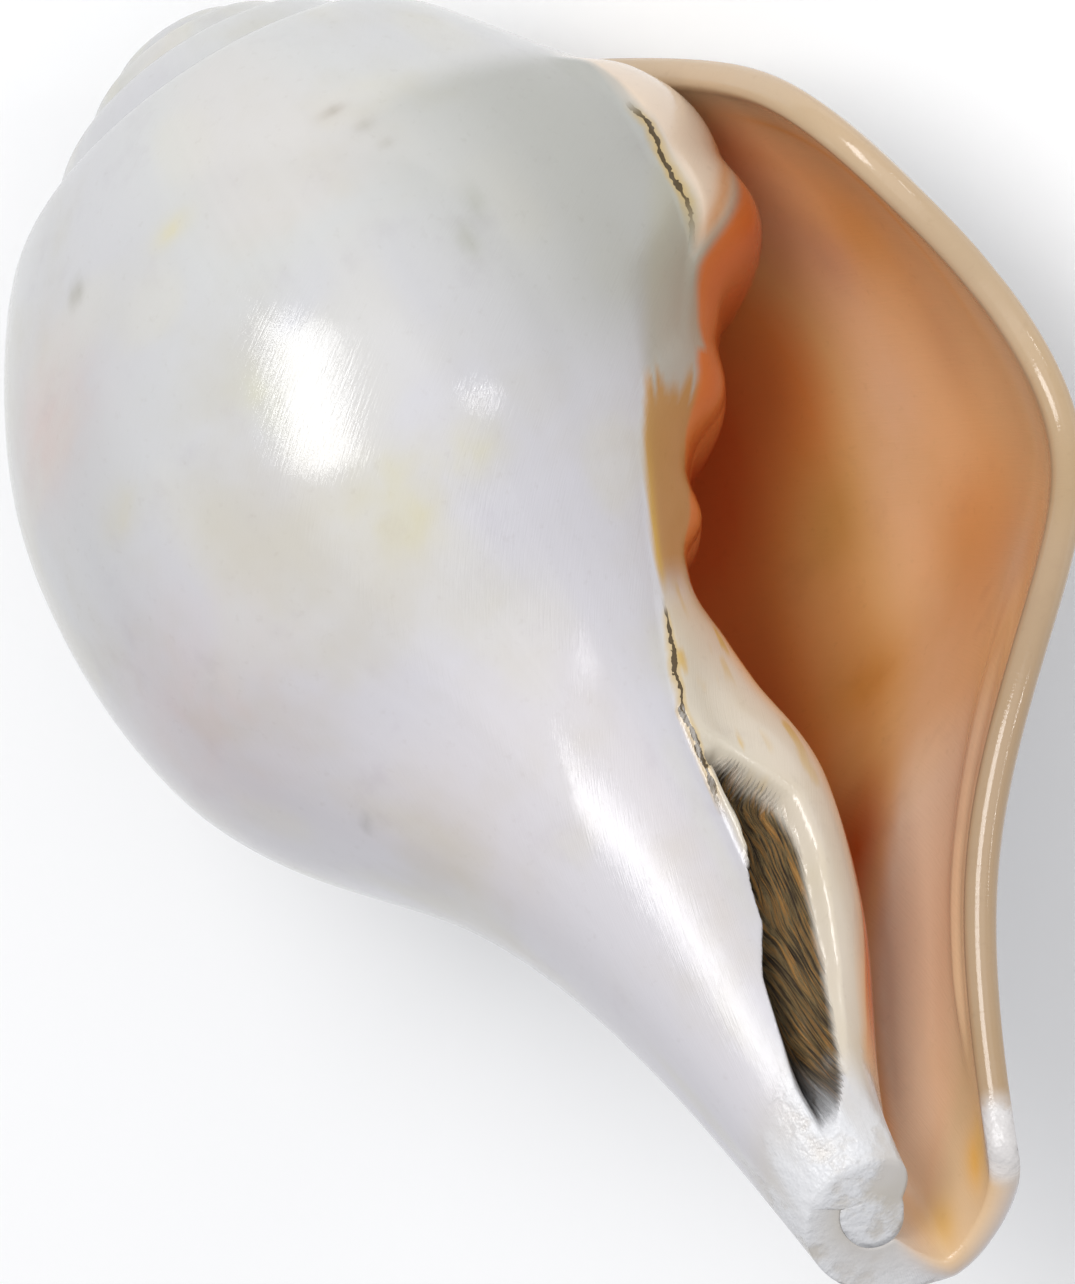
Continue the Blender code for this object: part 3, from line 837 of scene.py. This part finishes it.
# The chink's floor of dried fibres, darkened by the painted shadow held in the glaze colour,
# and the crust round the tip
chink_amount = point_value("chink")
chink_shade = node("ShaderNodeValToRGB", {"Fac": fibres})
stops = chink_shade.color_ramp.elements
stops[0].position = 0.30
stops[0].color = solid(tint(26, 20, 14))
stops[1].position = 0.74
stops[1].color = solid(tint(206, 172, 112))
for position, shade in (
        (0.42, tint(76, 58, 36)),
        (0.50, tint(134, 116, 80)),
        (0.60, tint(178, 128, 66))):
    stop = stops.new(position)
    stop.color = solid(shade)
chink_colour = blend_colour(1.0, chink_shade.outputs["Color"], colour, "MULTIPLY")
colour = blend_colour(chink_amount, colour, chink_colour)
crust_amount = maths("MULTIPLY", point_value("crust"), stretch(veins, 0.40, 0.55))
colour = blend_colour(crust_amount, colour, solid(tint(218, 218, 220)))

rough = stretch(strokes, 0.35, 0.70, 0.06, 0.15)
rough = maths("ADD", rough, maths("MULTIPLY", chink_amount, 0.6))
rough = maths("ADD", rough, maths("MULTIPLY", crust_amount, 0.25))
waves = noise(place_in_space, 70.0, 3.0, 0.35)
height = maths("MULTIPLY", waves, WAVE_HEIGHT)
height = maths("ADD", height, maths("MULTIPLY", strokes, STROKE_HEIGHT))
chink_fibres = maths("MULTIPLY", chink_amount, fibres)
height = maths("ADD", height, maths("MULTIPLY", chink_fibres, FIBRE_HEIGHT))
crust_specks = maths("MULTIPLY", crust_amount, specks)
height = maths("ADD", height, maths("MULTIPLY", crust_specks, CRUST_HEIGHT))
height = maths("SUBTRACT", height, maths("MULTIPLY", crack_line, CRACK_DEPTH))
bumps = node("ShaderNodeBump", {"Height": height, "Distance": 1.0, "Strength": 1.0})
surface = node("ShaderNodeBsdfPrincipled", {
    "Base Color": colour,
    "Roughness": rough,
    "Normal": bumps.outputs["Normal"],
    "IOR": SHELL_IOR,
})
node("ShaderNodeOutputMaterial", {"Surface": surface.outputs["BSDF"]})
shell_mesh.materials.append(finish)
shell = bpy.data.objects.new("shell", shell_mesh)
bpy.context.scene.collection.objects.link(shell)
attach(shell, "root")
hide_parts("conch_shell")

# The camera
# It looks down on the canal's end of the lying shell. Its aim is given in the coil's
# frame: how far it is turned and raised, its roll, and where the frame's middle falls.
LOOK_TURN = 0.33
LOOK_RISE = 0.3574
LOOK_ROLL = -0.5502
LOOK_DISTANCE = 5.5
LOOK_LENS = 6.60
LOOK_OFFSET = (-0.044, 0.0838)
LOOK_CENTRE = np.array([0.0, 0.0, -0.45])
SENSOR_WIDTH = 36.0
NEAREST_SEEN = 0.01
FARTHEST_SEEN = 50.0
to_camera = -np.array([math.sin(LOOK_TURN) * math.cos(LOOK_RISE),
                       math.cos(LOOK_TURN) * math.cos(LOOK_RISE), math.sin(LOOK_RISE)])
upright = np.array([0.0, 0.0, 1.0])
upright = upright - (upright @ to_camera) * to_camera
upright = upright / np.linalg.norm(upright)
rightward = np.cross(upright, to_camera)
right_way = rightward * math.cos(LOOK_ROLL) + upright * math.sin(LOOK_ROLL)
up_way = upright * math.cos(LOOK_ROLL) - rightward * math.sin(LOOK_ROLL)
forward = -to_camera - right_way * LOOK_OFFSET[0] / LOOK_LENS
forward = forward - up_way * LOOK_OFFSET[1] / LOOK_LENS
forward = forward / np.linalg.norm(forward)
right_way = right_way - (right_way @ forward) * forward
right_way = right_way / np.linalg.norm(right_way)
camera_axes = np.stack([right_way, np.cross(right_way, forward), -forward], axis=-1)
camera_at = (LOOK_CENTRE + to_camera * LOOK_DISTANCE) * SHELL_LENGTH
camera = bpy.data.objects.new("camera", bpy.data.cameras.new("camera"))
placed = np.eye(4)
placed[:3, :3] = resting_axes @ camera_axes
placed[:3, 3] = resting_axes @ camera_at + RESTING_SHIFT
camera.matrix_world = Matrix(placed.tolist())
camera.data.sensor_fit = "AUTO"
camera.data.sensor_width = SENSOR_WIDTH
camera.data.lens = LOOK_LENS * SENSOR_WIDTH
camera.data.clip_start = NEAREST_SEEN
camera.data.clip_end = FARTHEST_SEEN
bpy.context.scene.collection.objects.link(camera)
bpy.context.scene.camera = camera

# The floor
# A plain pale sheet, wide enough for every view, that the shell lies on.
FLOOR_HALF = 6.0
PAPER_WHITE = 0.96
PAPER_ROUGHNESS = 0.9
PAPER_SHINE = 0.1
floor_mesh = bpy.data.meshes.new("floor")
floor_corners = [(x * FLOOR_HALF, y * FLOOR_HALF, cad_low[2])
                 for x, y in ((-1, -1), (1, -1), (1, 1), (-1, 1))]
floor_mesh.from_pydata(floor_corners, [], [(0, 1, 2, 3)])
floor_paint = bpy.data.materials.new("floor_paper")
floor_paint.use_nodes = True
paper = floor_paint.node_tree.nodes["Principled BSDF"]
paper.inputs["Base Color"].default_value = (PAPER_WHITE, PAPER_WHITE, PAPER_WHITE, 1.0)
paper.inputs["Roughness"].default_value = PAPER_ROUGHNESS
paper.inputs["Specular IOR Level"].default_value = PAPER_SHINE
floor_mesh.materials.append(floor_paint)
floor = bpy.data.objects.new("floor", floor_mesh)
bpy.context.scene.collection.objects.link(floor)

# The light
# One soft box gives the large highlights on the body and the canal, a small one the glints
# beside the mouth. A wide one by the camera and a bright pale room fill in.
LIGHT_DISTANCE = 1.1
ROOM_COLOUR = (0.96, 0.97, 1.0, 1.0)
ROOM_STRENGTH = 0.50
world = bpy.data.worlds.new("room")
bpy.context.scene.world = world
world.use_nodes = True
room_light = world.node_tree.nodes["Background"]
room_light.inputs["Color"].default_value = ROOM_COLOUR
room_light.inputs["Strength"].default_value = ROOM_STRENGTH


def soft_box(name, aim, way, width, height, power):
    """An area light that stands off from a point on the shell, along a way, and faces it."""
    lamp = bpy.data.lights.new(name, "AREA")
    lamp.shape = "RECTANGLE"
    lamp.size = width
    lamp.size_y = height
    lamp.energy = power
    way = Vector(way).normalized()
    made = bpy.data.objects.new(name, lamp)
    made.location = Vector(aim) + way * LIGHT_DISTANCE
    made.rotation_mode = "QUATERNION"
    made.rotation_quaternion = way.to_track_quat("Z", "Y")
    bpy.context.scene.collection.objects.link(made)


soft_box("key_light", (0.003, 0.030, 0.077), (0.22, 0.43, 0.88), 0.44, 0.64, 6.6)
soft_box("side_light", (0.013, 0.023, 0.072), (0.80, -0.18, 0.50), 0.05, 0.16, 0.4)
soft_box("front_fill", (0.0, 0.0, 0.05), resting_axes @ to_camera, 1.2, 1.2, 3.6)

bpy.context.scene.view_settings.view_transform = "Standard"
bpy.context.scene.view_settings.look = "None"
